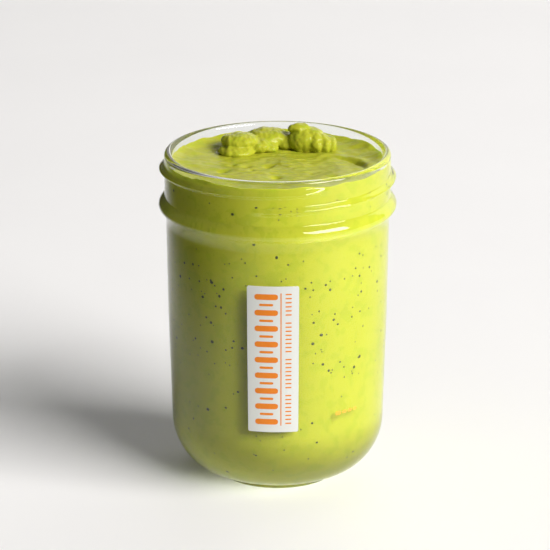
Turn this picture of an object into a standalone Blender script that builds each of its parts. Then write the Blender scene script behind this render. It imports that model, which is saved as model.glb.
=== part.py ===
"""Green smoothie in a clear, wide-mouthed glass jar.

The jar stands on the ground plane with its axis on Z. Its label faces -Y, which is the front.
Lengths are in metres. Angles round the jar start at +X and grow anticlockwise seen from above.
"""

import bpy
import bmesh
import numpy as np
from math import atan2, cos, exp, hypot, pi, radians, sin

MM = 0.001

# Jar, outside
RIM_TOP = 122.5 * MM
NECK_RADIUS = 40.9 * MM
LIP_THICKNESS = 2.9 * MM
BEAD_Z = 103.1 * MM
BEAD_RADIUS = 43.1 * MM
BEAD_HALF_HEIGHT = 2.9 * MM
SHOULDER_RADIUS = 40.5 * MM
BODY_RADII = ((100.2 * MM, SHOULDER_RADIUS), (88 * MM, 40.38 * MM), (60 * MM, 40.01 * MM),
              (30 * MM, 39.2 * MM))
HEEL_TOP = 22 * MM
HEEL_RADIUS = 39.0 * MM
HEEL_EXPONENT = 1.95
FOOT_RADIUS = 22.8 * MM
FOOT_HEIGHT = 2.6 * MM
FOOT_ROUND = 0.6 * MM
BEARING_WIDTH = 3.6 * MM
PUSH_UP = 1.0 * MM

# Jar, inside
WALL = 2.8 * MM
BASE_THICKNESS = 8.4 * MM
INNER_HEEL_TOP = 26 * MM
INNER_BASE_RADIUS = 17.5 * MM
INNER_HEEL_EXPONENT = 1.83

# Screw thread round the neck, one and a little turns rising anticlockwise
THREAD_PITCH = 6.2 * MM
THREAD_Z_AT_X = 113.3 * MM
THREAD_SECTION = 1.3 * MM
THREAD_CREST = 42.8 * MM
THREAD_START = radians(-104)
THREAD_END = radians(298)
THREAD_FADE = radians(16)
THREAD_STEP = radians(5)
THREAD_SINK = 1.7 * MM
THREAD_TAPER = 0.35

# Label, a thin sheet bent round the wall
LABEL_BOTTOM = 29.1 * MM
LABEL_TOP = 84.3 * MM
LABEL_LEFT = radians(-15.4)
LABEL_RIGHT = radians(10.75)
LABEL_THICKNESS = 0.35 * MM

# Smoothie
GAP = 0.3 * MM
LEVEL = 117.3 * MM
EDGE_RISE = 2.3 * MM
SURFACE_RINGS = 12

# Crescent fold in the surface, beside the dollop: part of a circle round a centre
FOLD_CENTRE = (14.5 * MM, -6.5 * MM)
FOLD_RADIUS = 16.4 * MM
FOLD_MIDDLE = radians(36)
FOLD_SPREAD = radians(30)
FOLD_DEPTH = 0.9 * MM
FOLD_LIP = 0.7 * MM

# Facets
TURNS = 64
HEEL_STEPS = 8
LIP_STEPS = 6
LUMP_SEGMENTS = 22
LUMP_RINGS = 12
LABEL_COLUMNS = 10
LABEL_ROWS = 4

# Rolls and lumps of the dollop in millimetres: centre, radii, and turn about Z in degrees
LUMP_LEAN = 0.12
DOLLOP = {
    "lower roll": ((-14.8, 15.2, 117.7), (6.9, 7.2, 2.7), -22),
    "upper roll": ((-13.8, 18.0, 120.8), (6.9, 6.6, 2.9), -18),
    "middle": ((-3.6, 25.4, 119.7), (8.2, 7.4, 3.9), 0),
    "middle front": ((-7.4, 18.4, 118.8), (4.6, 5.8, 3.0), 20),
    "middle toe": ((-3.0, 17.4, 118.2), (3.4, 3.4, 1.6), 0),
    "saddle": ((3.2, 25.0, 118.4), (4.6, 6.4, 3.8), 0),
    "peak": ((10.8, 21.8, 119.4), (7.0, 6.4, 5.8), 30),
    "curl": ((7.8, 21.6, 124.6), (4.1, 3.0, 1.9), 12),
    "right roll one": ((13.4, 20.6, 118.9), (3.5, 6.8, 5.0), 14),
    "right roll two": ((16.5, 20.5, 118.6), (3.0, 6.5, 4.4), 14),
    "right roll three": ((19.1, 20.7, 118.3), (2.6, 5.9, 3.7), 12),
}


def clear_scene():
    for old in list(bpy.data.objects):
        bpy.data.objects.remove(old, do_unlink=True)


def new_collection(name):
    collection = bpy.data.collections.new(name)
    bpy.context.scene.collection.children.link(collection)
    return collection


def material(name, colour, roughness, transmission=0.0):
    made = bpy.data.materials.new(name)
    made.use_nodes = True
    shader = made.node_tree.nodes["Principled BSDF"]
    shader.inputs["Base Color"].default_value = (*colour, 1)
    shader.inputs["Roughness"].default_value = roughness
    shader.inputs["Metallic"].default_value = 0
    shader.inputs["Transmission Weight"].default_value = transmission
    return made


def body_radius(z):
    """Outer radius of the straight wall, which narrows a little towards the base."""
    heights = [HEEL_TOP] + [h for h, _ in reversed(BODY_RADII)]
    radii = [HEEL_RADIUS] + [r for _, r in reversed(BODY_RADII)]
    return float(np.interp(z, heights, radii))


def heel(top, top_radius, base, base_radius, exponent):
    """Corner between wall and base, a superellipse from its top down to the base."""
    points = []
    for i in range(HEEL_STEPS + 1):
        angle = pi / 2 * i / HEEL_STEPS
        out = cos(angle) ** (2 / exponent)
        down = sin(angle) ** (2 / exponent)
        points.append((base_radius + (top_radius - base_radius) * out, top - (top - base) * down))
    return points


def inner_wall(shrink=0.0):
    """Inside of the jar from the rim's inner corner down to its floor, set in by a gap."""
    wall = [(z, body_radius(z) - WALL - shrink) for z in (88 * MM, 60 * MM, 30 * MM)]
    mouth = NECK_RADIUS - LIP_THICKNESS - shrink
    points = [(mouth, RIM_TOP - LIP_THICKNESS / 2), (mouth, 104 * MM)]
    points += [(radius, z) for z, radius in wall]
    points += heel(INNER_HEEL_TOP, HEEL_RADIUS - WALL - shrink, BASE_THICKNESS + shrink,
                   INNER_BASE_RADIUS, INNER_HEEL_EXPONENT)
    points.append((0, BASE_THICKNESS + shrink))
    return points


def turned_object(name, profile, collection):
    """Turn a profile of (radius, height) about Z. It runs down the outer side."""
    mesh = bpy.data.meshes.new(name)
    mesh.from_pydata([(radius, 0, z) for radius, z in profile],
                     [(i, i + 1) for i in range(len(profile) - 1)], [])
    made = bpy.data.objects.new(name, mesh)
    collection.objects.link(made)
    screw = made.modifiers.new("Turn", "SCREW")
    screw.steps = TURNS
    screw.render_steps = TURNS
    screw.use_merge_vertices = True
    screw.merge_threshold = 0.01 * MM
    screw.use_smooth_shade = True
    return made


def jar_profile():
    """Half section of the jar: floor, inner wall, round lip, neck, bead, wall, heel and foot."""
    lip = LIP_THICKNESS / 2
    profile = list(reversed(inner_wall()))[:-1]
    for i in range(LIP_STEPS + 1):
        angle = pi - pi * i / LIP_STEPS
        profile.append((NECK_RADIUS - lip + lip * cos(angle), RIM_TOP - lip + lip * sin(angle)))
    for i in range(HEEL_STEPS + 1):
        angle = pi / 2 - pi * i / HEEL_STEPS
        foot = NECK_RADIUS if angle > 0 else SHOULDER_RADIUS
        proud = (BEAD_RADIUS - foot) * cos(angle)
        profile.append((foot + proud, BEAD_Z + BEAD_HALF_HEIGHT * sin(angle)))
    profile += [(radius, z) for z, radius in BODY_RADII[1:]]
    profile += heel(HEEL_TOP, HEEL_RADIUS, FOOT_HEIGHT, FOOT_RADIUS, HEEL_EXPONENT)
    profile += [(FOOT_RADIUS, FOOT_ROUND), (FOOT_RADIUS - FOOT_ROUND, 0)]
    ring_inside = FOOT_RADIUS - BEARING_WIDTH
    profile += [(ring_inside, 0), (ring_inside - 2 * MM, PUSH_UP), (0, PUSH_UP)]
    return profile


def thread_rod(collection):
    """Ridge of the thread: a round rod on a helix that sinks into the wall at both ends."""
    curve = bpy.data.curves.new("Thread", "CURVE")
    curve.dimensions = "3D"
    curve.bevel_depth = THREAD_SECTION
    curve.bevel_resolution = 2
    curve.use_fill_caps = True
    count = round((THREAD_END - THREAD_START) / THREAD_STEP) + 1
    spline = curve.splines.new("POLY")
    spline.points.add(count - 1)
    for i, point in enumerate(spline.points):
        angle = THREAD_START + (THREAD_END - THREAD_START) * i / (count - 1)
        from_end = min(angle - THREAD_START, THREAD_END - angle)
        sink = (1 - min(1, from_end / THREAD_FADE)) ** 2
        radius = THREAD_CREST - THREAD_SECTION - THREAD_SINK * sink
        z = THREAD_Z_AT_X + THREAD_PITCH * angle / (2 * pi)
        point.co = (radius * cos(angle), radius * sin(angle), z, 1)
        point.radius = 1 - THREAD_TAPER * sink
    rod = bpy.data.objects.new("Thread curve", curve)
    collection.objects.link(rod)
    evaluated = rod.evaluated_get(bpy.context.evaluated_depsgraph_get())
    mesh = bpy.data.meshes.new_from_object(evaluated)
    shape = bmesh.new()
    shape.from_mesh(mesh)
    bmesh.ops.remove_doubles(shape, verts=shape.verts, dist=0.01 * MM)
    bmesh.ops.recalc_face_normals(shape, faces=shape.faces)
    shape.to_mesh(mesh)
    shape.free()
    solid = bpy.data.objects.new("Thread", mesh)
    solid.matrix_world = rod.matrix_world
    collection.objects.link(solid)
    bpy.data.objects.remove(rod, do_unlink=True)
    solid.hide_render = True
    solid.display_type = "WIRE"
    return solid


def build_jar(parts, cutters):
    jar = turned_object("jar", jar_profile(), parts)
    union = jar.modifiers.new("Thread", "BOOLEAN")
    union.operation = "UNION"
    union.solver = "EXACT"
    union.object = thread_rod(cutters)
    jar.data.materials.append(material("Clear glass", (0.93, 0.97, 0.93), 0.03, 1.0))
    return jar


def surface_height(x, y):
    """Top of the smoothie: nearly level, creeping up at the glass, with soft swells and a fold."""
    reach = hypot(x, y) / (NECK_RADIUS - LIP_THICKNESS)
    height = LEVEL + EDGE_RISE * reach ** 10
    height += 0.35 * MM * sin(x / (6.1 * MM) + 0.6) * cos(y / (5.3 * MM) - 0.4)
    height += 0.25 * MM * sin((x + y) / (3.7 * MM)) * cos((x - 1.6 * y) / (7.9 * MM))
    # The fold is a groove with its far side raised
    angle = atan2(y - FOLD_CENTRE[1], x - FOLD_CENTRE[0])
    across = hypot(x - FOLD_CENTRE[0], y - FOLD_CENTRE[1]) - FOLD_RADIUS
    along = exp(-((angle - FOLD_MIDDLE) / FOLD_SPREAD) ** 2)
    height -= FOLD_DEPTH * along * exp(-(across / (0.8 * MM)) ** 2)
    height += FOLD_LIP * along * exp(-((across - 2.2 * MM) / (1.7 * MM)) ** 2)
    return height


def smoothie_body(parts):
    """The drink as poured: the jar's inside, set in by a gap, closed by an uneven top."""
    edge = NECK_RADIUS - LIP_THICKNESS - GAP
    rings = [(edge * i / SURFACE_RINGS, None) for i in range(1, SURFACE_RINGS + 1)]
    rings += inner_wall(GAP)[1:-1]
    shape = bmesh.new()
    rows = []
    for radius, z in rings:
        row = []
        for step in range(TURNS):
            angle = 2 * pi * step / TURNS
            x = radius * cos(angle)
            y = radius * sin(angle)
            row.append(shape.verts.new((x, y, surface_height(x, y) if z is None else z)))
        rows.append(row)
    top = shape.verts.new((0, 0, surface_height(0, 0)))
    bottom = shape.verts.new((0, 0, BASE_THICKNESS + GAP))
    for step in range(TURNS):
        following = (step + 1) % TURNS
        shape.faces.new((top, rows[0][step], rows[0][following]))
        for upper, lower in zip(rows, rows[1:]):
            shape.faces.new((upper[step], lower[step], lower[following], upper[following]))
        shape.faces.new((rows[-1][step], bottom, rows[-1][following]))
    mesh = bpy.data.meshes.new("smoothie")
    shape.to_mesh(mesh)
    shape.free()
    made = bpy.data.objects.new("smoothie", mesh)
    parts.objects.link(made)
    return made


def dollop_lump(name, centre, radii, turn, collection):
    """One roll of the dollop, an egg-shaped lump that its neighbours run into."""
    bpy.ops.mesh.primitive_uv_sphere_add(segments=LUMP_SEGMENTS, ring_count=LUMP_RINGS, radius=1)
    lump = bpy.context.object
    lump.name = name
    for owner in list(lump.users_collection):
        owner.objects.unlink(lump)
    collection.objects.link(lump)
    spin = radians(turn)
    for vertex in lump.data.vertices:
        x, y, z = (vertex.co[axis] * radii[axis] for axis in range(3))
        widen = 1 + LUMP_LEAN * vertex.co[2]
        across = (x * cos(spin) - y * sin(spin)) * widen
        along = (x * sin(spin) + y * cos(spin)) * widen
        vertex.co = ((centre[0] + across) * MM, (centre[1] + along) * MM, (centre[2] + z) * MM)
    lump.hide_render = True
    lump.display_type = "WIRE"
    return lump


def build_smoothie(parts, lumps):
    smoothie = smoothie_body(parts)
    for name, (centre, radii, turn) in DOLLOP.items():
        dollop_lump(name, centre, radii, turn, lumps)
    union = smoothie.modifiers.new("Dollop", "BOOLEAN")
    union.operation = "UNION"
    union.solver = "EXACT"
    union.operand_type = "COLLECTION"
    union.collection = lumps
    bpy.context.view_layer.objects.active = smoothie
    bpy.ops.object.modifier_apply(modifier=union.name)
    for lump in list(lumps.objects):
        bpy.data.objects.remove(lump, do_unlink=True)
    smoothie.data.shade_smooth()
    smoothie.data.set_sharp_from_angle(angle=radians(50))
    smoothie.data.materials.append(material("Green smoothie", (0.50, 0.58, 0.04), 0.32))
    return smoothie


def build_label(parts):
    """Paper label, one sheet of even thickness that follows the wall from a gap in front of it."""
    shape = bmesh.new()
    grid = []
    for row in range(LABEL_ROWS + 1):
        z = LABEL_BOTTOM + (LABEL_TOP - LABEL_BOTTOM) * row / LABEL_ROWS
        radius = body_radius(z) + GAP
        line = []
        for column in range(LABEL_COLUMNS + 1):
            angle = LABEL_LEFT + (LABEL_RIGHT - LABEL_LEFT) * column / LABEL_COLUMNS
            line.append(shape.verts.new((radius * sin(angle), -radius * cos(angle), z)))
        grid.append(line)
    for low, high in zip(grid, grid[1:]):
        for column in range(LABEL_COLUMNS):
            shape.faces.new((low[column], low[column + 1], high[column + 1], high[column]))
    mesh = bpy.data.meshes.new("label")
    shape.to_mesh(mesh)
    shape.free()
    label = bpy.data.objects.new("label", mesh)
    parts.objects.link(label)
    sheet = label.modifiers.new("Thickness", "SOLIDIFY")
    sheet.thickness = LABEL_THICKNESS
    sheet.offset = 1
    label.data.materials.append(material("Label paper", (0.88, 0.88, 0.85), 0.5))
    return label


clear_scene()
parts = new_collection("green_smoothie_jar")
cutters = new_collection("cutters")
lumps = new_collection("lumps")
build_jar(parts, cutters)
build_smoothie(parts, lumps)
build_label(parts)
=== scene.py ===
"""Looks of a green smoothie in a clear glass jar, on a plain pale floor.

Lengths are in metres, in the frame of the model: Z is up and the label faces -Y.
"""
import random
from math import asin, atan2, cos, exp, hypot, pi, radians, sin

import bpy
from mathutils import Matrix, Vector, noise


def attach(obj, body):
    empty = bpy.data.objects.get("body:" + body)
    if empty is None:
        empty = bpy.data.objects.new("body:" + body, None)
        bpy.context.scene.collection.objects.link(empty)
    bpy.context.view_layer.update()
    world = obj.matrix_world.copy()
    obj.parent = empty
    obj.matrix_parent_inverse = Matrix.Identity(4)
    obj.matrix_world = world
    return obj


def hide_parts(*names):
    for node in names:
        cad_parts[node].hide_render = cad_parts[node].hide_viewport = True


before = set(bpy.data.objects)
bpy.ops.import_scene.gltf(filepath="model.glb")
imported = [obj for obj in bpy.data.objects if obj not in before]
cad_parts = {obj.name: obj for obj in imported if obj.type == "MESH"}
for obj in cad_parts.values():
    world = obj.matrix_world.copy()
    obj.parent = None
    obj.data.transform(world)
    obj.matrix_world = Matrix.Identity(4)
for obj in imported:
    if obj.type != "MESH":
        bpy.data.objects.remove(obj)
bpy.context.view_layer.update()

# Camera, at the height of someone leaning over the table, a little above the rim.
# A long lens keeps the sides of the jar nearly parallel.
MM = 0.001
CAMERA_DISTANCE = 1050 * MM
CAMERA_RISE = radians(18.52)
CAMERA_TARGET = Vector((0, 0, 75.1 * MM))
CAMERA_LENS = 188.1
CAMERA_SHIFT = -0.0047

bpy.ops.object.select_all(action="DESELECT")
camera_place = CAMERA_TARGET + CAMERA_DISTANCE * Vector((0, -cos(CAMERA_RISE), sin(CAMERA_RISE)))
camera_turn = (CAMERA_TARGET - camera_place).to_track_quat("-Z", "Y").to_euler()
bpy.ops.object.camera_add(location=camera_place, rotation=camera_turn)
camera = bpy.context.object
camera.name = "camera"
camera.data.lens = CAMERA_LENS
camera.data.sensor_width = 36
camera.data.shift_x = CAMERA_SHIFT
camera.data.clip_start = 0.05
bpy.context.scene.camera = camera

# Floor and light: a smooth pale board that bends up far behind the jar, one large soft light on
# the right and in front, and a dim pale room. Out of view, in front and on the left, the board
# darkens, so that the left of the jar stays dark.
FLOOR_SIDE = 7.0
SWEEP_RADIUS = 0.9
SWEEP_STEPS = 24
SWEEP_Y = 1.5
BACK_HEIGHT = 2.5
BOARD_COLOURS = ((0.84, 0.835, 0.835, 1), (0.87, 0.867, 0.865, 1))
DARK_BOARD = (0.05, 0.05, 0.05, 1)
KEY_AZIMUTH = radians(54)
KEY_RISE = radians(33)
KEY_DISTANCE = 6.0
KEY_SIZE = (4.2, 3.2)
KEY_POWER = 655
KEY_COLOUR = (1.0, 0.98, 0.962)
ROOM_STRENGTH = 0.10
ROOM_COLOUR = (0.95, 0.98, 1.0, 1)
# The way each fade runs, and how far along it the board starts and ends to darken
FADES = (((-1, -0.12, 0), (0.125, 0.32)), ((0, -1, 0), (0.115, 0.45)))


class Signal:
    """A socket in a material's node tree. Python's operators on it add Math nodes."""

    def __init__(self, tree, socket=None):
        self.tree = tree
        self.socket = socket

    def node(self, kind, settings=None, sockets=None, output=0):
        """Add a node: its settings first, then the values or links of its sockets."""
        made = self.tree.nodes.new(kind)
        for name, value in (settings or {}).items():
            setattr(made, name, value)
        for name, value in (sockets or {}).items():
            target = made.inputs[name]
            if isinstance(value, Signal):
                self.tree.links.new(value.socket, target)
            else:
                target.default_value = value
        return Signal(self.tree, made.outputs[output])

    def maths(self, operation, first, second=0.0):
        return self.node("ShaderNodeMath", {"operation": operation}, {0: first, 1: second})

    def __add__(self, other):
        return self.maths("ADD", self, other)

    __radd__ = __add__

    def __mul__(self, other):
        return self.maths("MULTIPLY", self, other)

    __rmul__ = __mul__

    def __gt__(self, other):
        return self.maths("GREATER_THAN", self, other)

    def mix(self, low, high):
        """Blend two colours by this signal."""
        settings = {"data_type": "RGBA", "clamp_factor": True}
        return self.node("ShaderNodeMix", settings, {0: self, 6: low, 7: high}, output=2)


def new_finish(name, **values):
    """A Principled material with plain socket values, and its node tree as a Signal."""
    material = bpy.data.materials.new(name)
    material.use_nodes = True
    shader = material.node_tree.nodes["Principled BSDF"]
    for key, value in values.items():
        shader.inputs[key.replace("_", " ").title().replace("Ior", "IOR")].default_value = value
    return material, shader, Signal(material.node_tree)


def give_finish(piece, material):
    piece.data.materials.clear()
    piece.data.materials.append(material)


bpy.ops.mesh.primitive_plane_add(size=FLOOR_SIDE, location=(0, SWEEP_Y - FLOOR_SIDE / 2, 0))
floor = bpy.context.object
floor.name = "floor"
bpy.ops.object.mode_set(mode="EDIT")
bpy.ops.mesh.select_all(action="DESELECT")
bpy.ops.object.mode_set(mode="OBJECT")
for vertex in floor.data.vertices:
    vertex.select = vertex.co.y > 0
for edge in floor.data.edges:
    edge.select = all(floor.data.vertices[index].co.y > 0 for index in edge.vertices)
bpy.ops.object.mode_set(mode="EDIT")
last = (0.0, 0.0)
for i in range(1, SWEEP_STEPS + 1):
    angle = pi / 2 * i / SWEEP_STEPS
    bend = (SWEEP_RADIUS * sin(angle), SWEEP_RADIUS * (1 - cos(angle)))
    move = (0, bend[0] - last[0], bend[1] - last[1])
    bpy.ops.mesh.extrude_region_move(TRANSFORM_OT_translate={"value": move})
    last = bend
bpy.ops.mesh.extrude_region_move(TRANSFORM_OT_translate={"value": (0, 0, BACK_HEIGHT)})
bpy.ops.object.mode_set(mode="OBJECT")
floor.data.shade_smooth()
board, shader, tree = new_finish("pale board", roughness=0.6, specular_ior_level=0.2)
grain = tree.node("ShaderNodeTexNoise", None, {"Vector": tree.node("ShaderNodeTexCoord", output=3),
                                               "Scale": 9.0, "Detail": 4.0})
tint = grain.mix(*BOARD_COLOURS)
where = tree.node("ShaderNodeNewGeometry", output=0)
for towards, (near, far) in FADES:
    away = tree.node("ShaderNodeVectorMath", {"operation": "DOT_PRODUCT"}, {0: where, 1: towards},
                     output=1)
    fade = tree.node("ShaderNodeMapRange", {"interpolation_type": "SMOOTHSTEP"},
                     {"Value": away, "From Min": near, "From Max": far})
    tint = fade.mix(tint, DARK_BOARD)
board.node_tree.links.new(tint.socket, shader.inputs["Base Color"])
give_finish(floor, board)

key_place = CAMERA_TARGET + KEY_DISTANCE * Vector((cos(KEY_RISE) * sin(KEY_AZIMUTH),
                                                   -cos(KEY_RISE) * cos(KEY_AZIMUTH),
                                                   sin(KEY_RISE)))
key_turn = (CAMERA_TARGET - key_place).to_track_quat("-Z", "Y").to_euler()
bpy.ops.object.light_add(type="AREA", location=key_place, rotation=key_turn)
key_light = bpy.context.object
key_light.name = "key light"
key_light.data.shape = "RECTANGLE"
key_light.data.size, key_light.data.size_y = KEY_SIZE
key_light.data.energy = KEY_POWER
key_light.data.color = KEY_COLOUR

room = bpy.data.worlds.new("pale room")
room.use_nodes = True
room.node_tree.nodes["Background"].inputs["Color"].default_value = ROOM_COLOUR
room.node_tree.nodes["Background"].inputs["Strength"].default_value = ROOM_STRENGTH
bpy.context.scene.world = room
bpy.context.scene.view_settings.view_transform = "Standard"

# Jar: pressed clear glass, turned from one profile, with a rounded lip and a heavy base on a low
# foot ring. A screw thread of a little more than one turn rises out of the neck, above a bead.
JAR_TURNS = 256
RIM_TOP = 122.5 * MM
NECK_RADIUS = 40.9 * MM
LIP = 2.9 * MM
LIP_STEPS = 16
NECK_ROWS = 56
INNER_NECK_HEIGHTS = (121.05, 118, 114, 110, 106, 104)
BEAD_Z = 103.1 * MM
BEAD_PROUD_RADIUS = 43.1 * MM
BEAD_HALF = 3.25 * MM
BEAD_FULLNESS = 0.45
BEAD_ROWS = 28
# Height and outer radius of the wall, in millimetres
WALL_STATIONS = ((22, 39.0), (30, 39.2), (60, 40.01), (88, 40.38), (100.2, 40.5))
WALL_HEIGHTS = (99.8, 96, 88, 80, 70, 60, 50, 40, 30, 26)
WALL = 2.8 * MM
HEEL_EXPONENT = 1.95
HEEL_STEPS = 30
HEEL_TOP = 22 * MM
FOOT_RADIUS = 22.8 * MM
FOOT_HEIGHT = 2.6 * MM
# Round edge of the foot ring and slope inside it, in millimetres: distance inwards, and height
FOOT_EDGE = ((0.06, 2.3), (0.08, 1.7), (0.1, 1.1), (0.25, 0.65), (0.5, 0.3), (0.9, 0.08), (1.4, 0))
FOOT_SLOPE = ((0, 0), (0.4, 0.1), (1.2, 0.6), (2.4, 1.0))
BEARING_WIDTH = 3.6 * MM
PUSH_UP = 1.05 * MM
PUSH_UP_RADIUS = 8 * MM
INNER_HEEL_EXPONENT = 1.83
INNER_HEEL_STEPS = 22
BASE_THICKNESS = 8.4 * MM
INNER_HEEL_TOP = 26 * MM
INNER_BASE_RADIUS = 17.5 * MM
INNER_BASE_RINGS = (14, 9, 4)
THREAD_PITCH = 6.2 * MM
THREAD_Z_AT_X = 113.3 * MM
THREAD_PROUD = 1.9 * MM
THREAD_HALF = 1.5 * MM
THREAD_FULLNESS = 0.55
THREAD_START = radians(-104)
THREAD_END = radians(298)
THREAD_FADE = radians(15)


def wall_radius(z):
    """Outer radius of the wall below the bead, straight between its stations."""
    height = z / MM
    for (low, low_radius), (high, high_radius) in zip(WALL_STATIONS, WALL_STATIONS[1:]):
        if height <= high:
            part = max(0, (height - low) / (high - low))
            return (low_radius + (high_radius - low_radius) * part) * MM
    return WALL_STATIONS[-1][1] * MM


def heel_corner(top, top_radius, base, base_radius, exponent, steps):
    """Corner between wall and base, a superellipse from its top down to the base."""
    corner = []
    for i in range(steps + 1):
        angle = pi / 2 * i / steps
        out = cos(angle) ** (2 / exponent)
        down = sin(angle) ** (2 / exponent)
        corner.append((base_radius + (top_radius - base_radius) * out, top - (top - base) * down))
    return corner


def inner_profile(reach=0.0):
    """Inside of the jar from the foot of its lip to the floor, or as far inside the glass."""
    points = [(NECK_RADIUS - LIP + reach, z * MM) for z in INNER_NECK_HEIGHTS]
    points += [(wall_radius(z * MM) - WALL + reach, z * MM) for z in range(96, 26, -8)]
    points += heel_corner(INNER_HEEL_TOP, wall_radius(HEEL_TOP) - WALL + reach,
                          BASE_THICKNESS - reach, INNER_BASE_RADIUS, INNER_HEEL_EXPONENT,
                          INNER_HEEL_STEPS)
    points += [(radius * MM, BASE_THICKNESS - reach) for radius in INNER_BASE_RINGS]
    return points


def outer_profile():
    """Outside of the jar from its lip down to the middle of the base."""
    lip = LIP / 2
    points = []
    for i in range(1, LIP_STEPS):
        angle = pi - pi * i / LIP_STEPS
        points.append((NECK_RADIUS - lip + lip * cos(angle), RIM_TOP - lip + lip * sin(angle)))
    top = RIM_TOP - lip
    bottom = BEAD_Z + BEAD_HALF
    points += [(NECK_RADIUS, top + (bottom - top) * i / NECK_ROWS) for i in range(NECK_ROWS + 1)]
    for i in range(1, BEAD_ROWS):
        rise = 1 - 2 * i / BEAD_ROWS
        beside = NECK_RADIUS if rise > 0 else WALL_STATIONS[-1][1] * MM
        proud = (BEAD_PROUD_RADIUS - beside) * ((1 + cos(pi * rise)) / 2) ** BEAD_FULLNESS
        points.append((beside + proud, BEAD_Z + BEAD_HALF * rise))
    points += [(wall_radius(z * MM), z * MM) for z in WALL_HEIGHTS]
    points += heel_corner(HEEL_TOP, wall_radius(HEEL_TOP), FOOT_HEIGHT, FOOT_RADIUS,
                          HEEL_EXPONENT, HEEL_STEPS)
    points += [(FOOT_RADIUS - inwards * MM, z * MM) for inwards, z in FOOT_EDGE]
    ring = FOOT_RADIUS - BEARING_WIDTH
    points += [(ring - inwards * MM, z * MM) for inwards, z in FOOT_SLOPE]
    points.append((PUSH_UP_RADIUS, PUSH_UP))
    return points


def spun(name, profile, turns):
    """Draw a profile of (radius, height) from axis to axis by extruding a point, then spin it."""
    bpy.ops.object.select_all(action="DESELECT")
    bpy.ops.mesh.primitive_plane_add(size=0.001, location=(0, 0, 0))
    piece = bpy.context.object
    piece.name = name
    piece.data.name = name
    bpy.ops.object.mode_set(mode="EDIT")
    bpy.ops.mesh.merge(type="CENTER")
    bpy.ops.transform.translate(value=(profile[0][0], 0, profile[0][1]))
    for (radius, z), (next_radius, next_z) in zip(profile, profile[1:]):
        move = (next_radius - radius, 0, next_z - z)
        bpy.ops.mesh.extrude_region_move(TRANSFORM_OT_translate={"value": move})
    bpy.ops.mesh.select_all(action="SELECT")
    bpy.ops.mesh.spin(steps=turns, dupli=False, angle=2 * pi, center=(0, 0, 0), axis=(0, 0, 1))
    bpy.ops.mesh.select_all(action="SELECT")
    bpy.ops.mesh.remove_doubles(threshold=0.002 * MM)
    bpy.ops.mesh.normals_make_consistent(inside=False)
    bpy.ops.object.mode_set(mode="OBJECT")
    piece.data.shade_smooth()
    return piece


def thread_height(angle, z):
    """How far the thread stands out of the neck at an angle and a height."""
    best = 0.0
    for turn in (-1, 0, 1):
        along = angle + 2 * pi * turn
        if THREAD_START <= along <= THREAD_END:
            centre = THREAD_Z_AT_X + THREAD_PITCH * along / (2 * pi)
            off = abs(z - centre) / THREAD_HALF
            if off < 1:
                fade = min(1, (along - THREAD_START) / THREAD_FADE, (THREAD_END - along) / THREAD_FADE)
                fade = fade * fade * (3 - 2 * fade)
                best = max(best, THREAD_PROUD * fade * ((1 + cos(pi * off)) / 2) ** THREAD_FULLNESS)
    return best


inside = list(reversed(inner_profile()))
jar = spun("jar_glass", [(0, BASE_THICKNESS)] + inside + outer_profile() + [(0, PUSH_UP)], JAR_TURNS)
# The thread is raised out of the outer side of the neck, between bead and lip
for vertex in jar.data.vertices:
    x, y, z = vertex.co
    radius = hypot(x, y)
    if radius > NECK_RADIUS - 0.05 * MM and BEAD_Z + 2 * MM < z < RIM_TOP - LIP / 2:
        out = 1 + thread_height(atan2(y, x), z) / radius
        vertex.co = (x * out, y * out, z)

glass, shader, tree = new_finish("clear glass", roughness=0.012, ior=1.5, transmission_weight=1.0,
                                 base_color=(0.975, 0.992, 0.978, 1))
place = tree.node("ShaderNodeTexCoord", output=3)
ripple = tree.node("ShaderNodeTexNoise", None, {"Vector": place, "Scale": 42.0, "Detail": 1.0})
bump = tree.node("ShaderNodeBump", None, {"Strength": 0.05, "Distance": 0.0006, "Height": ripple})
glass.node_tree.links.new(bump.socket, shader.inputs["Normal"])
lamp_ray = tree.node("ShaderNodeLightPath", output="Is Shadow Ray")
through = tree.node("ShaderNodeBsdfTransparent", None, {"Color": (0.95, 0.975, 0.95, 1)})
seen = tree.node("ShaderNodeMixShader", None, {0: lamp_ray, 1: Signal(tree.tree, shader.outputs[0]),
                                               2: through})
glass.node_tree.links.new(seen.socket, glass.node_tree.nodes["Material Output"].inputs["Surface"])
give_finish(jar, glass)
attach(jar, "root")
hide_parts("jar")

# Smoothie: blended fruit and leaves, thick and opaque, poured to just below the rim so that it
# wets the glass all round, with an uneven top and a swirled dollop of the same drink on it.
WETTING = 0.08 * MM
LEVEL = 117.3 * MM
EDGE_RISE = 2.3 * MM
EDGE_SHARPNESS = 10
CONTACT_TOP = 118.5 * MM
SURFACE_RINGS = 90
SMOOTHIE_TURNS = 224
FOLD_CENTRE = (14.5 * MM, -6.5 * MM)
FOLD_RADIUS = 16.4 * MM
FOLD_MIDDLE = radians(36)
FOLD_SPREAD = radians(30)
FOLD_DEPTH = 0.9 * MM
FOLD_WIDTH = 0.8 * MM
FOLD_LIP = 0.7 * MM
FOLD_LIP_OUT = 2.2 * MM
FOLD_LIP_WIDTH = 1.7 * MM
# Pits of burst bubbles, in millimetres: place, width and depth
PITS = ((-11.4, -2.6, 1.6, 1.0), (-19.6, -9.4, 1.7, 1.0), (-16.5, -0.5, 1.1, 0.7),
        (-9.4, -9.0, 1.1, 0.6), (-0.6, -16.0, 1.6, 1.0), (-3.5, -2.5, 1.8, 1.1),
        (12.0, -12.0, 1.0, 0.6), (20.0, -17.0, 1.2, 0.7), (5.0, -20.0, 0.9, 0.6))
DRINK_COLOURS = ((0.362, 0.382, 0.02, 1), (0.405, 0.415, 0.033, 1))
LEAF_COLOUR = (0.26, 0.34, 0.012, 1)
FLECK_COLOUR = (0.25, 0.32, 0.015, 1)


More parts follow.
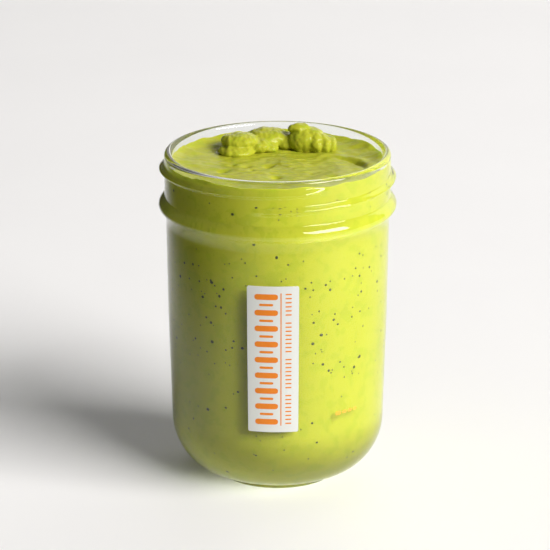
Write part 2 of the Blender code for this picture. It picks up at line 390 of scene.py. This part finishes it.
def wave(*parts):
    """Noise at a point as a sum of octaves; each part is (scale per metre, weight)."""
    def at(point):
        return sum(weight * noise.noise(Vector(point) * scale) for scale, weight in parts)
    return at


swell = wave((140, 0.35), (330, 0.34), (800, 0.15))


def surface_height(x, y):
    """Top of the drink: nearly level, creeping up at the glass, with soft swells and a fold."""
    reach = hypot(x, y) / (NECK_RADIUS - LIP)
    height = LEVEL + EDGE_RISE * reach ** EDGE_SHARPNESS
    height += 0.35 * MM * sin(x / (6.1 * MM) + 0.6) * cos(y / (5.3 * MM) - 0.4)
    height += 0.25 * MM * sin((x + y) / (3.7 * MM)) * cos((x - 1.6 * y) / (7.9 * MM))
    height += MM * swell((x * 0.75, y * 1.3, 0))
    angle = atan2(y - FOLD_CENTRE[1], x - FOLD_CENTRE[0])
    across = hypot(x - FOLD_CENTRE[0], y - FOLD_CENTRE[1]) - FOLD_RADIUS
    along = exp(-((angle - FOLD_MIDDLE) / FOLD_SPREAD) ** 2)
    height -= FOLD_DEPTH * along * exp(-(across / FOLD_WIDTH) ** 2)
    height += FOLD_LIP * along * exp(-((across - FOLD_LIP_OUT) / FOLD_LIP_WIDTH) ** 2)
    for pit_x, pit_y, wide, deep in PITS:
        away = hypot(x - pit_x * MM, y - pit_y * MM) / (wide * MM)
        height -= deep * MM * exp(-away ** 2)
    return height


surface_edge = NECK_RADIUS - LIP + WETTING
rings = [(surface_edge * i / SURFACE_RINGS, LEVEL) for i in range(1, SURFACE_RINGS + 1)]
contact = [point for point in inner_profile(WETTING) if point[1] < CONTACT_TOP]
smoothie = spun("smoothie_body", [(0, LEVEL)] + rings + contact + [(0, BASE_THICKNESS - WETTING)],
                SMOOTHIE_TURNS)
for vertex in smoothie.data.vertices:
    x, y, z = vertex.co
    if abs(z - LEVEL) < 0.01 * MM:
        vertex.co.z = surface_height(x, y)

# Dollop: a spoonful of the same drink dropped on top, in soft rolls that run into each other.
# Each roll is in millimetres: centre, radii, and turn about Z in degrees.
DOLLOP = {
    "lower roll": ((-14.8, 15.2, 117.7), (6.9, 7.2, 2.7), -22),
    "upper roll": ((-13.8, 18.0, 120.8), (6.9, 6.6, 2.9), -18),
    "middle": ((-3.6, 25.4, 119.7), (8.2, 7.4, 3.9), 0),
    "middle front": ((-7.4, 18.4, 118.8), (4.6, 5.8, 3.0), 20),
    "middle toe": ((-3.0, 17.4, 118.2), (3.4, 3.4, 1.6), 0),
    "saddle": ((3.2, 25.0, 118.4), (4.6, 6.4, 3.8), 0),
    "peak": ((10.8, 21.8, 119.4), (7.0, 6.4, 5.8), 30),
    "curl": ((7.8, 21.6, 124.6), (4.1, 3.0, 1.9), 12),
    "right roll one": ((13.4, 20.6, 118.9), (3.5, 6.8, 5.0), 14),
    "right roll two": ((16.5, 20.5, 118.6), (3.0, 6.5, 4.4), 14),
    "right roll three": ((19.1, 20.7, 118.3), (2.6, 5.9, 3.7), 12),
}
LUMP_LEAN = 0.12
LUMP_SEGMENTS = 48
LUMP_RINGS = 28
DOLLOP_VOXEL = 0.36 * MM
SOFTEN_PASSES = 4
RIDGE_HEIGHT = 0.6 * MM
ridges = wave((300, 0.75), (680, 0.42), (1500, 0.12))

bpy.ops.object.select_all(action="DESELECT")
lumps = []
for name, (centre, radii, turn) in DOLLOP.items():
    bpy.ops.mesh.primitive_uv_sphere_add(segments=LUMP_SEGMENTS, ring_count=LUMP_RINGS, radius=1)
    lump = bpy.context.object
    lump.name = name
    spin = radians(turn)
    for vertex in lump.data.vertices:
        x, y, z = (vertex.co[axis] * radii[axis] for axis in range(3))
        widen = 1 + LUMP_LEAN * vertex.co[2]
        across = (x * cos(spin) - y * sin(spin)) * widen
        along = (x * sin(spin) + y * cos(spin)) * widen
        vertex.co = ((centre[0] + across) * MM, (centre[1] + along) * MM, (centre[2] + z) * MM)
    lumps.append(lump)
for lump in lumps:
    lump.select_set(True)
bpy.context.view_layer.objects.active = lumps[0]
bpy.ops.object.join()
dollop = bpy.context.object
dollop.name = "dollop"
remesh = dollop.modifiers.new("Run together", "REMESH")
remesh.mode = "VOXEL"
remesh.voxel_size = DOLLOP_VOXEL
bpy.ops.object.modifier_apply(modifier=remesh.name)
soften = dollop.modifiers.new("Soften", "SMOOTH")
soften.factor = 0.5
soften.iterations = SOFTEN_PASSES
bpy.ops.object.modifier_apply(modifier=soften.name)
normals = [vertex.normal.copy() for vertex in dollop.data.vertices]
for vertex, normal in zip(dollop.data.vertices, normals):
    x, y, z = vertex.co
    vertex.co += normal * ridges((x * 1.2, y * 0.8, z * 1.1)) * RIDGE_HEIGHT

bpy.context.view_layer.objects.active = smoothie
union = smoothie.modifiers.new("Dollop", "BOOLEAN")
union.operation = "UNION"
union.solver = "EXACT"
union.object = dollop
bpy.ops.object.modifier_apply(modifier=union.name)
bpy.data.objects.remove(dollop, do_unlink=True)
smoothie.data.shade_smooth()
smoothie.data.set_sharp_from_angle(angle=radians(60))

drink, shader, tree = new_finish("green smoothie", roughness=0.3, ior=1.38, subsurface_weight=0.15,
                                 subsurface_scale=0.004, subsurface_radius=(0.5, 1.0, 0.12),
                                 specular_ior_level=0.12, coat_weight=0.1, coat_roughness=0.08)
place = tree.node("ShaderNodeTexCoord", output=3)
cloud = tree.node("ShaderNodeTexNoise", None, {"Vector": place, "Scale": 55.0, "Detail": 3.0})
pulp = tree.node("ShaderNodeTexNoise", None, {"Vector": place, "Scale": 900.0, "Detail": 2.0})
colour = cloud.mix(*DRINK_COLOURS)
leaf = tree.node("ShaderNodeTexNoise", None, {"Vector": place, "Scale": 260.0, "Detail": 3.0})
colour = ((leaf > 0.56) * 0.3).mix(colour, LEAF_COLOUR)
colour = ((pulp > 0.66) * 0.35).mix(colour, FLECK_COLOUR)
drink.node_tree.links.new(colour.socket, shader.inputs["Base Color"])
rough = 0.24 + pulp * 0.14
drink.node_tree.links.new(rough.socket, shader.inputs["Roughness"])
bump = tree.node("ShaderNodeBump", None, {"Strength": 0.2, "Distance": 0.0002, "Height": pulp})
drink.node_tree.links.new(bump.socket, shader.inputs["Normal"])
give_finish(smoothie, drink)
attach(smoothie, "root")
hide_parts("smoothie")

# Air bubbles: small round pockets that blending leaves in the drink. They lie against the glass,
# most in the upper half, coloured dark as painted shade of each pocket. Each is a low dome, all joined
# into one mesh.
BUBBLE_SEED = 7
BUBBLE_COUNT = 480
# Painted shade: dark colours that stand for the shade inside each air pocket, mixed at random
BUBBLE_PAINTED_SHADE = ((0.012, 0.018, 0.003, 1), (0.07, 0.085, 0.008, 1))
# In millimetres: heights between which the others lie, crowded upwards, none of them in the bead,
# and the least and greatest size
BUBBLE_LOWEST, BUBBLE_HIGHEST = 10, 114
BUBBLE_CROWDING = 0.65
BARE_FROM, BARE_TO = 94 * MM, 108 * MM
BUBBLE_LEAST, BUBBLE_MOST = 0.26, 0.64
DOME_OUT, DOME_IN = 0.2, 0.5
# Bubbles that stand out, in millimetres: distance right of the middle, height and size
BUBBLES_SEEN = ((-8.1, 99.5, 0.62), (-0.3, 94.5, 0.6), (-3.6, 77.0, 0.75), (-5.9, 74.5, 0.6),
                (-8.7, 75.8, 0.5), (-23.0, 83.4, 0.45), (-18.6, 81.0, 0.5), (-21.3, 74.0, 0.4),
                (-19.5, 74.0, 0.55), (-17.9, 72.0, 0.4), (-15.2, 62.0, 0.4), (-12.2, 59.8, 0.5),
                (16.6, 83.0, 0.45), (12.3, 81.7, 0.35), (11.2, 79.2, 0.3), (23.0, 84.0, 0.3),
                (19.8, 71.5, 0.35), (20.8, 67.4, 0.4), (-7.4, 18.5, 0.4), (2.3, 21.0, 0.3),
                (25.0, 15.5, 0.4), (22.8, 14.0, 0.35))


def drink_wall(z):
    """Radius of the drink where it meets the glass, at a height."""
    side = [point for point in inner_profile(WETTING) if point[1] > BASE_THICKNESS]
    for (upper_radius, upper), (lower_radius, lower) in zip(side, side[1:]):
        if lower <= z <= upper:
            part = (z - lower) / (upper - lower)
            return lower_radius + (upper_radius - lower_radius) * part
    return side[0][0]


chance = random.Random(BUBBLE_SEED)
spots = []
for across, height, size in BUBBLES_SEEN:
    z = height * MM
    spots.append((asin(across * MM / drink_wall(z)), z, size * MM))
while len(spots) < BUBBLE_COUNT:
    part = chance.random()
    z = (BUBBLE_LOWEST + (BUBBLE_HIGHEST - BUBBLE_LOWEST) * part ** BUBBLE_CROWDING) * MM
    azimuth = chance.uniform(-pi, pi)
    size = BUBBLE_LEAST + (BUBBLE_MOST - BUBBLE_LEAST) * chance.random() ** 3
    if not BARE_FROM < z < BARE_TO:
        spots.append((azimuth, z, size * MM))

bpy.ops.object.select_all(action="DESELECT")
bpy.ops.mesh.primitive_ico_sphere_add(subdivisions=2, radius=1)
pattern = bpy.context.object
corners = [vertex.co.copy() for vertex in pattern.data.vertices]
sides = [tuple(face.vertices) for face in pattern.data.polygons]
bpy.data.objects.remove(pattern, do_unlink=True)
points = []
faces = []
for azimuth, z, size in spots:
    radius = drink_wall(z)
    slope = (drink_wall(z + MM) - drink_wall(z - MM)) / (2 * MM)
    out = Vector((sin(azimuth), -cos(azimuth), -slope)).normalized()
    side = Vector((cos(azimuth), sin(azimuth), 0))
    up = side.cross(out)
    centre = Vector((radius * sin(azimuth), -radius * cos(azimuth), z))
    first = len(points)
    stretch = chance.uniform(0.85, 1.2)
    for corner in corners:
        flat = DOME_OUT if corner.z > 0 else DOME_IN
        points.append(centre + size * (side * corner.x * stretch + up * corner.y
                                       + out * corner.z * flat))
    faces += [tuple(first + index for index in face) for face in sides]
mesh = bpy.data.meshes.new("air_bubbles")
mesh.from_pydata(points, [], faces)
bubbles = bpy.data.objects.new("air_bubbles", mesh)
bpy.context.scene.collection.objects.link(bubbles)
bubbles.data.shade_smooth()
# The bubble material paints the shade of the air pockets into its colour
bubble_shade, shader, tree = new_finish("air bubble painted shade", roughness=0.35)
place = tree.node("ShaderNodeTexCoord", output=3)
patch = tree.node("ShaderNodeTexNoise", None, {"Vector": place, "Scale": 160.0, "Detail": 1.0})
shade = patch.mix(*BUBBLE_PAINTED_SHADE)
bubble_shade.node_tree.links.new(shade.socket, shader.inputs["Base Color"])
give_finish(bubbles, bubble_shade)
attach(bubbles, "root")

# Label: an upright strip of white coated paper with round corners, stuck on the front of the jar.
# It follows the wall and is as thick as its edge needs to catch the light.
LABEL_BOTTOM = 29.1 * MM
LABEL_TOP = 84.3 * MM
LABEL_LEFT = radians(-15.4)
LABEL_RIGHT = radians(10.75)
LABEL_LIFT = 0.03 * MM
LABEL_THICKNESS = 0.3 * MM
LABEL_CORNER = 0.4 * MM
LABEL_COLUMNS = 40
LABEL_ROWS = 120
PAPER_COLOURS = ((0.59, 0.605, 0.575, 1), (0.66, 0.67, 0.64, 1))


def curved_patch(left, right, bottom, top, lift, corner, columns, rows):
    """Corners and faces of a rounded patch that follows the wall; left and right are angles."""
    patch_points = []
    patch_faces = []
    for row in range(rows + 1):
        part = row / rows
        z = bottom + (top - bottom) * part
        from_end = min(z - bottom, top - z)
        inset = 0.0
        if from_end < corner:
            inset = corner - (corner ** 2 - (corner - from_end) ** 2) ** 0.5
        radius = wall_radius(z) + lift
        low = left + inset / radius
        high = right - inset / radius
        for column in range(columns + 1):
            angle = low + (high - low) * column / columns
            patch_points.append((radius * sin(angle), -radius * cos(angle), z))
    for row in range(rows):
        for column in range(columns):
            a = row * (columns + 1) + column
            patch_faces.append((a, a + 1, a + columns + 2, a + columns + 1))
    return patch_points, patch_faces


def patches(name, shapes):
    """One object from several curved patches."""
    all_points = []
    all_faces = []
    for shape in shapes:
        shape_points, shape_faces = curved_patch(*shape)
        first = len(all_points)
        all_points += shape_points
        all_faces += [tuple(first + index for index in face) for face in shape_faces]
    made_mesh = bpy.data.meshes.new(name)
    made_mesh.from_pydata(all_points, [], all_faces)
    made = bpy.data.objects.new(name, made_mesh)
    bpy.context.scene.collection.objects.link(made)
    return made


def thicken(piece, thickness):
    bpy.ops.object.select_all(action="DESELECT")
    piece.select_set(True)
    bpy.context.view_layer.objects.active = piece
    sheet = piece.modifiers.new("Thickness", "SOLIDIFY")
    sheet.thickness = thickness
    sheet.offset = 1
    bpy.ops.object.modifier_apply(modifier=sheet.name)
    piece.data.shade_smooth()
    piece.data.set_sharp_from_angle(angle=radians(30))


label = patches("label_paper", [(LABEL_LEFT, LABEL_RIGHT, LABEL_BOTTOM, LABEL_TOP, LABEL_LIFT,
                                 LABEL_CORNER, LABEL_COLUMNS, LABEL_ROWS)])
thicken(label, LABEL_THICKNESS)
paper, shader, tree = new_finish("coated paper", roughness=0.45, specular_ior_level=0.4)
place = tree.node("ShaderNodeTexCoord", output=3)
fibre = tree.node("ShaderNodeTexNoise", None, {"Vector": place, "Scale": 1400.0, "Detail": 3.0})
mottle = tree.node("ShaderNodeTexNoise", None, {"Vector": place, "Scale": 70.0, "Detail": 2.0})
white = (fibre * 0.5 + mottle * 0.5).mix(*PAPER_COLOURS)
paper.node_tree.links.new(white.socket, shader.inputs["Base Color"])
bump = tree.node("ShaderNodeBump", None, {"Strength": 0.15, "Distance": 0.0001, "Height": fibre})
paper.node_tree.links.new(bump.socket, shader.inputs["Normal"])
give_finish(label, paper)
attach(label, "root")
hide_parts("label")

# Print on the label: orange ink in a column of tall and short bars, a thin rule beside it, and a
# column of small dashes in groups. Widths are angles round the jar, right of the front.
INK_LIFT = 0.02 * MM
INK_COLOURS = ((0.66, 0.165, 0.006, 1), (0.74, 0.22, 0.012, 1))
PRINT_LIFT = LABEL_LIFT + LABEL_THICKNESS + INK_LIFT
PRINT_BOTTOM = 31.6 * MM
PRINT_TOP = 81.9 * MM
BAR_COUNT = 17
# Left and right of a bar, and its share of the column's step in height
TALL_BAR = (radians(-11.6), radians(0.2), 0.72)
SHORT_BAR = (radians(-9.2), radians(-2.2), 0.30)
BAR_ROUND = 0.42
RULE_LEFT, RULE_RIGHT = radians(1.45), radians(2.0)
DASH_LEFT, DASH_RIGHT = radians(3.9), radians(7.1)
DASH_COUNT = 33
DASH_GROUP = 9
DASH_FIRST = 0.6 * MM
DASH_STEP = 1.53 * MM
DASH_HEIGHT = 0.5 * MM
DASH_ROUND = 0.2 * MM

shapes = []
bar_step = (PRINT_TOP - PRINT_BOTTOM) / BAR_COUNT
for i in range(BAR_COUNT):
    left, right, share = SHORT_BAR if i % 2 else TALL_BAR
    middle = PRINT_BOTTOM + bar_step * (i + 0.5)
    tall = bar_step * share
    shapes.append((left, right, middle - tall / 2, middle + tall / 2, PRINT_LIFT,
                   tall * BAR_ROUND, 16, 8))
shapes.append((RULE_LEFT, RULE_RIGHT, PRINT_BOTTOM, PRINT_TOP, PRINT_LIFT, 0, 1, 60))
for i in range(DASH_COUNT):
    z = PRINT_BOTTOM + DASH_FIRST + DASH_STEP * i
    if i % DASH_GROUP != DASH_GROUP - 1:
        shapes.append((DASH_LEFT, DASH_RIGHT, z, z + DASH_HEIGHT, PRINT_LIFT, DASH_ROUND, 4, 3))
print_shapes = patches("label_print", shapes)
print_shapes.data.shade_smooth()
ink, shader, tree = new_finish("orange ink", roughness=0.4, specular_ior_level=0.4)
place = tree.node("ShaderNodeTexCoord", output=3)
worn = tree.node("ShaderNodeTexNoise", None, {"Vector": place, "Scale": 500.0, "Detail": 3.0})
orange = worn.mix(*INK_COLOURS)
ink.node_tree.links.new(orange.socket, shader.inputs["Base Color"])
give_finish(print_shapes, ink)
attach(print_shapes, "root")

# Fill marks: four small dashes in thin orange ink, printed on the glass at the lower right.
# Each has its left and right as degrees round the jar, and its height in millimetres.
MARKS = ((32.0, 35.2, 1.5), (36.3, 39.0, 1.1), (40.0, 42.6, 1.1), (43.6, 46.2, 1.1))
MARK_Z = 33.8 * MM
MARK_LIFT = 0.03 * MM
MARK_ROUND = 0.3 * MM
MARK_COLOURS = ((0.74, 0.34, 0.03, 1), (0.76, 0.45, 0.04, 1))

shapes = []
for left, right, tall in MARKS:
    shapes.append((radians(left), radians(right), MARK_Z - tall * MM / 2, MARK_Z + tall * MM / 2,
                   MARK_LIFT, MARK_ROUND, 5, 6))
marks = patches("fill_marks", shapes)
marks.data.shade_smooth()
faint, shader, tree = new_finish("thin orange ink", roughness=0.4)
place = tree.node("ShaderNodeTexCoord", output=3)
worn = tree.node("ShaderNodeTexNoise", None, {"Vector": place, "Scale": 700.0, "Detail": 3.0})
orange = worn.mix(*MARK_COLOURS)
faint.node_tree.links.new(orange.socket, shader.inputs["Base Color"])
give_finish(marks, faint)
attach(marks, "root")
